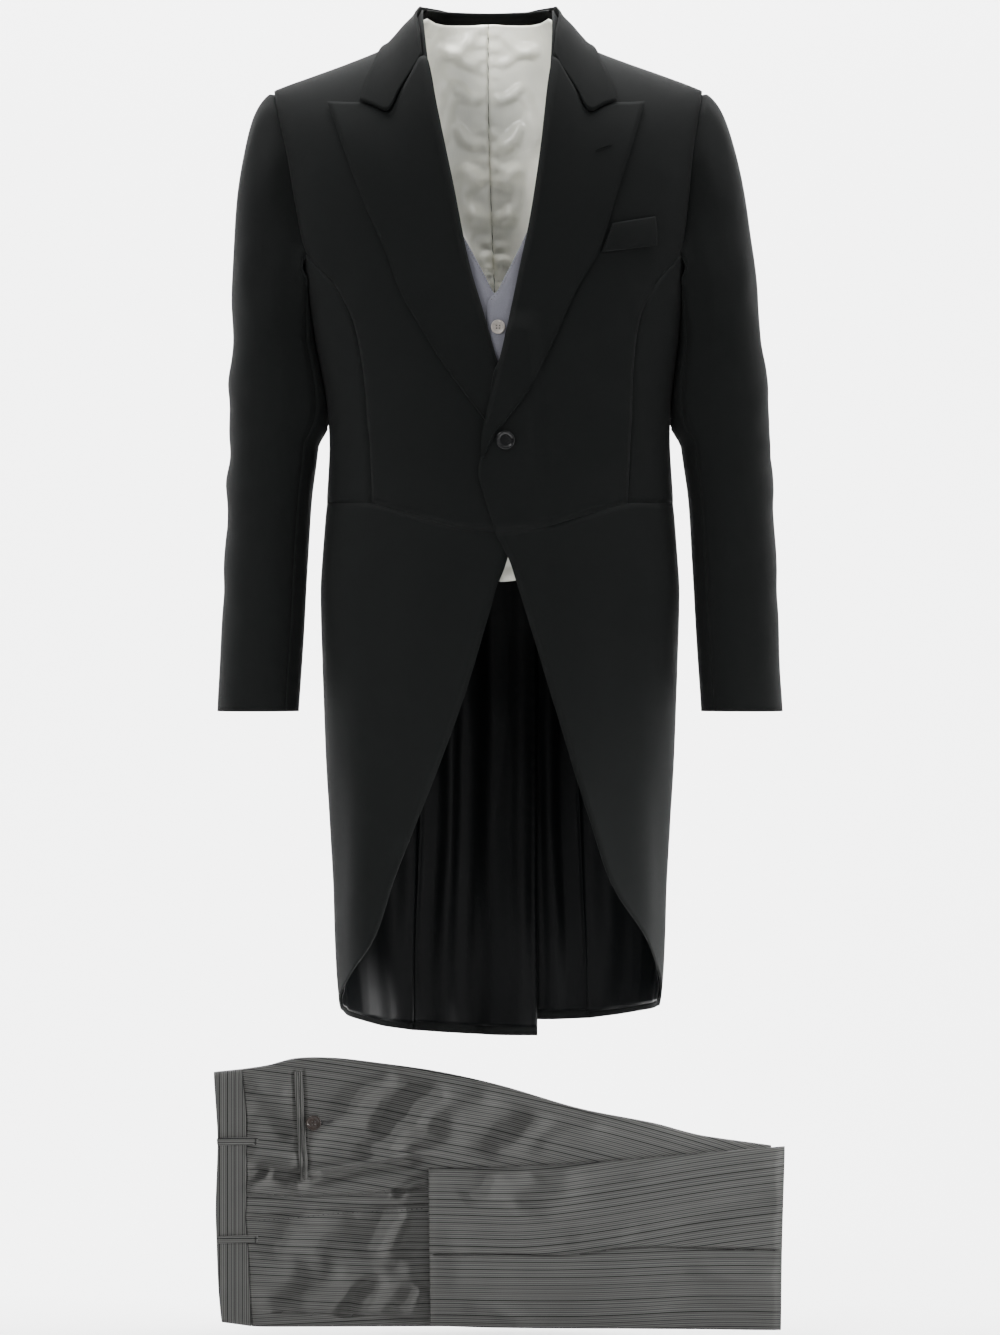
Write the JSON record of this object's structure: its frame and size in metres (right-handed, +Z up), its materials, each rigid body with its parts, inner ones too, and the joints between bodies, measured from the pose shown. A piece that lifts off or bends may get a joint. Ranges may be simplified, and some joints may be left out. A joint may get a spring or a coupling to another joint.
{
  "type": "single-breasted suit",
  "caption": "single-breasted morning suit: cutaway tailcoat with peak lapels over a waistcoat, filled out and hollow, with striped trousers folded below",
  "frame": {"origin": "middle of the neck, level with the line of the shoulders, where the suit is held", "axes": "+Z up, -Y the way the fronts face, +X to the right in the front view"},
  "size_m": [0.6042, 0.2515, 1.404],
  "materials": {
    "coat_cloth": "matt fine twill",
    "collar_cloth": "matt fine twill",
    "tail_lining": "dark satin lining",
    "waistcoat_cloth": "matt worsted",
    "satin": "satin sheen",
    "trouser_cloth": "striped worsted",
    "trouser_band": "striped worsted",
    "black_button": "polished",
    "grey_button": "polished",
    "brown_button": "polished"
  },
  "bodies": {
    "root": {"back_left": "coat_cloth", "back_lining_left": "tail_lining", "back_lining_right": "tail_lining", "back_right": "coat_cloth", "belt_loop_lower": "trouser_band", "belt_loop_upper": "trouser_band", "breast_welt": "coat_cloth", "coat_button": "black_button", "collar_fall": "collar_cloth", "collar_stand": "collar_cloth", "forepart_left": "coat_cloth", "forepart_right": "coat_cloth", "lapel_left": "coat_cloth", "lapel_right": "coat_cloth", "pocket_button": "brown_button", "pocket_jet_left": "trouser_cloth", "pocket_jet_right": "trouser_cloth", "side_body_left": "coat_cloth", "side_body_right": "coat_cloth", "skirt_left": "coat_cloth", "skirt_lining_left": "tail_lining", "skirt_lining_right": "tail_lining", "skirt_right": "coat_cloth", "top_sleeve_left": "coat_cloth", "top_sleeve_right": "coat_cloth", "trouser_lower_leg": "trouser_cloth", "trouser_upper_leg": "trouser_cloth", "under_sleeve_left": "coat_cloth", "under_sleeve_right": "coat_cloth", "waistband": "trouser_band", "waistcoat_back_left": "satin", "waistcoat_back_right": "satin", "waistcoat_button": "grey_button", "waistcoat_front_left": "waistcoat_cloth", "waistcoat_front_right": "waistcoat_cloth"}
  },
  "joints": []
}
